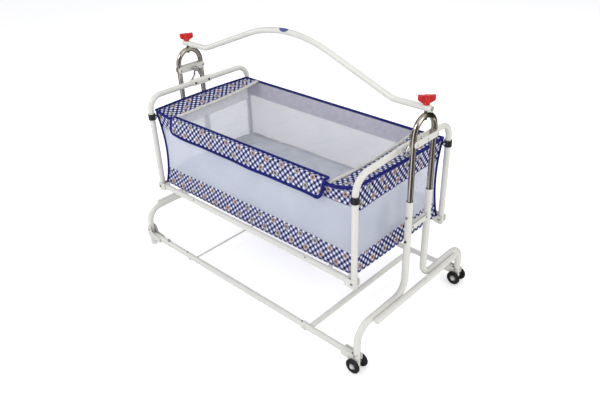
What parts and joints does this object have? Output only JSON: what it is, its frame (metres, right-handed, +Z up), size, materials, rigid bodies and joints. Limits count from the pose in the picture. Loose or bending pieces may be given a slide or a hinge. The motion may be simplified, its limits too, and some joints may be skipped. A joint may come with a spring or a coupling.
{
  "type": "baby cradle",
  "caption": "Baby cradle: a cloth and net bassinet with mattress swings from two chrome hoops that telescope out of a white tubular stand with wheels at one end and a bow over the top.",
  "frame": {"origin": "on the floor, midway between the four feet", "axes": "+X towards the end with the wheels, +Y towards the rear, +Z up"},
  "size_m": [1.1346, 0.6442, 0.9087],
  "materials": {
    "white_paint": "glossy cream-white powder coat",
    "chrome": "polished chrome plate",
    "dark_steel": "dark oiled steel",
    "tyre_rubber": "black moulded rubber",
    "hub_plastic": "light grey moulded plastic",
    "glide_plastic": "off-white moulded plastic",
    "red_knob": "glossy red plastic",
    "black_clip": "black moulded plastic",
    "net": "pale blue-white fine net",
    "checked_cloth": "navy and white gingham with navy piping",
    "mattress_cloth": "pale woven mattress cover"
  },
  "bodies": {
    "stand": {"leg_front_left": "white_paint", "foot_bracket_front_left": "white_paint", "leg_front_right": "white_paint", "foot_bracket_front_right": "white_paint", "base_rail_front": "white_paint", "foot_cap_front": "glide_plastic", "wheel_axle_front": "dark_steel", "leg_rear_left": "white_paint", "foot_bracket_rear_left": "white_paint", "leg_rear_right": "white_paint", "foot_bracket_rear_right": "white_paint", "base_rail_rear": "white_paint", "foot_cap_rear": "glide_plastic", "wheel_axle_rear": "dark_steel", "tie_tube_left": "white_paint", "upright_bar_left": "white_paint", "tie_tube_right": "white_paint", "upright_bar_right": "white_paint", "base_crossbar": "white_paint", "base_tie_rod": "white_paint"},
    "hoops": {"pivot_bridge_left": "white_paint", "hoop_left": "chrome", "pivot_pin_left": "dark_steel", "pivot_bridge_right": "white_paint", "hoop_right": "chrome", "pivot_pin_right": "dark_steel", "bow": "white_paint"},
    "basket": {"corner_clip_front_left": "black_clip", "corner_clip_front_right": "black_clip", "basket_rail_front": "white_paint", "wall_front": "net", "corner_clip_rear_left": "black_clip", "corner_clip_rear_right": "black_clip", "basket_rail_rear": "white_paint", "wall_rear": "net", "end_frame_left": "white_paint", "hanger_saddle_left": "white_paint", "floor_slat_left": "white_paint", "hanger_strap_left": "dark_steel", "wall_left": "net", "end_frame_right": "white_paint", "hanger_saddle_right": "white_paint", "floor_slat_right": "white_paint", "hanger_strap_right": "dark_steel", "wall_right": "net", "bassinet_floor": "checked_cloth", "net_cover": "net", "mattress": "mattress_cloth"},
    "flap": {"front_flap": "checked_cloth"},
    "knob_left": {"wing_knob_left": "red_knob"},
    "knob_right": {"wing_knob_right": "red_knob"},
    "wheel_front_a": {"tyre_front_a": "tyre_rubber", "hub_front_a": "hub_plastic"},
    "wheel_front_b": {"tyre_front_b": "tyre_rubber", "hub_front_b": "hub_plastic"},
    "wheel_rear_a": {"tyre_rear_a": "tyre_rubber", "hub_rear_a": "hub_plastic"},
    "wheel_rear_b": {"tyre_rear_b": "tyre_rubber", "hub_rear_b": "hub_plastic"}
  },
  "joints": [
    {"name": "hoop_height", "type": "slide", "parent": "stand", "child": "hoops", "axis": [0, 0, 1], "range_m": [0, 0.085]},
    {"name": "basket_swing", "type": "hinge", "parent": "hoops", "child": "basket", "pos_m": [0, 0, 0.679], "axis": [1, 0, 0], "range_deg": [-25, 25]},
    {"name": "flap_lift", "type": "hinge", "parent": "basket", "child": "flap", "pos_m": [0, -0.2197, 0.5791], "axis": [-1, 0, 0], "range_deg": [0, 175]},
    {"name": "knob_left_turn", "type": "hinge", "parent": "hoops", "child": "knob_left", "pos_m": [-0.536, 0, 0.79], "axis": [0, 0, 1], "continuous": true},
    {"name": "knob_right_turn", "type": "hinge", "parent": "hoops", "child": "knob_right", "pos_m": [0.536, 0, 0.79], "axis": [0, 0, 1], "continuous": true},
    {"name": "wheel_front_a_spin", "type": "hinge", "parent": "stand", "child": "wheel_front_a", "pos_m": [0.536, -0.292, 0.025], "axis": [0, 1, 0], "continuous": true},
    {"name": "wheel_front_b_spin", "type": "hinge", "parent": "stand", "child": "wheel_front_b", "pos_m": [0.536, -0.292, 0.025], "axis": [0, 1, 0], "continuous": true},
    {"name": "wheel_rear_a_spin", "type": "hinge", "parent": "stand", "child": "wheel_rear_a", "pos_m": [0.536, 0.292, 0.025], "axis": [0, 1, 0], "continuous": true},
    {"name": "wheel_rear_b_spin", "type": "hinge", "parent": "stand", "child": "wheel_rear_b", "pos_m": [0.536, 0.292, 0.025], "axis": [0, 1, 0], "continuous": true}
  ]
}
